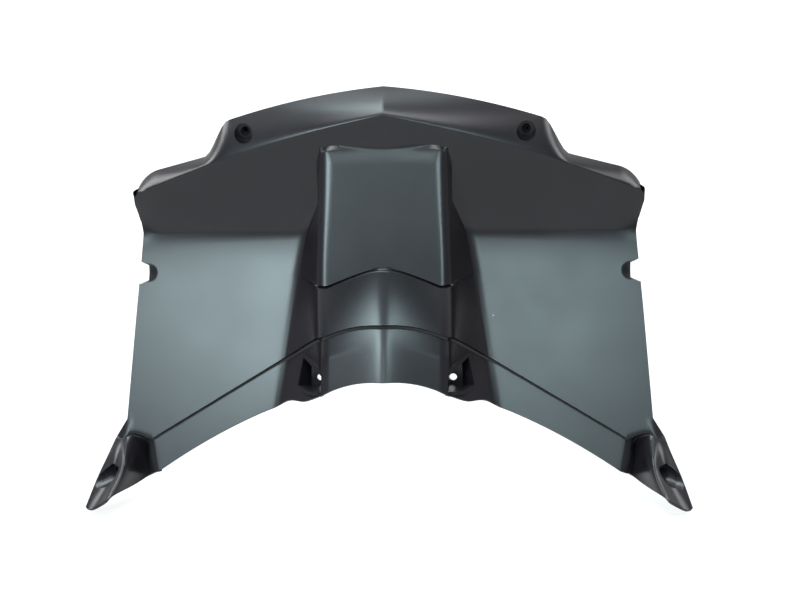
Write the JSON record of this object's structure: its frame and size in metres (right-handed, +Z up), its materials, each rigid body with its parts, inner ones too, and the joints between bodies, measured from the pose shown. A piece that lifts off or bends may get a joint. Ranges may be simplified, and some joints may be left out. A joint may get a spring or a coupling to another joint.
{
  "type": "scooter inner panel",
  "caption": "Moulded inner leg panel of a scooter with centre tunnel, hood, wings, recessed lower flange and screw ears.",
  "frame": {"origin": "midway between the two upper screws, on the seats of their wells", "axes": "+X across the panel, front faces -Y, +Z up"},
  "size_m": [0.4146, 0.0921, 0.2836],
  "materials": {
    "black_plastic": "satin black moulded plastic with a fine grain"
  },
  "bodies": {
    "root": {"inner_panel": "black_plastic"}
  },
  "joints": []
}
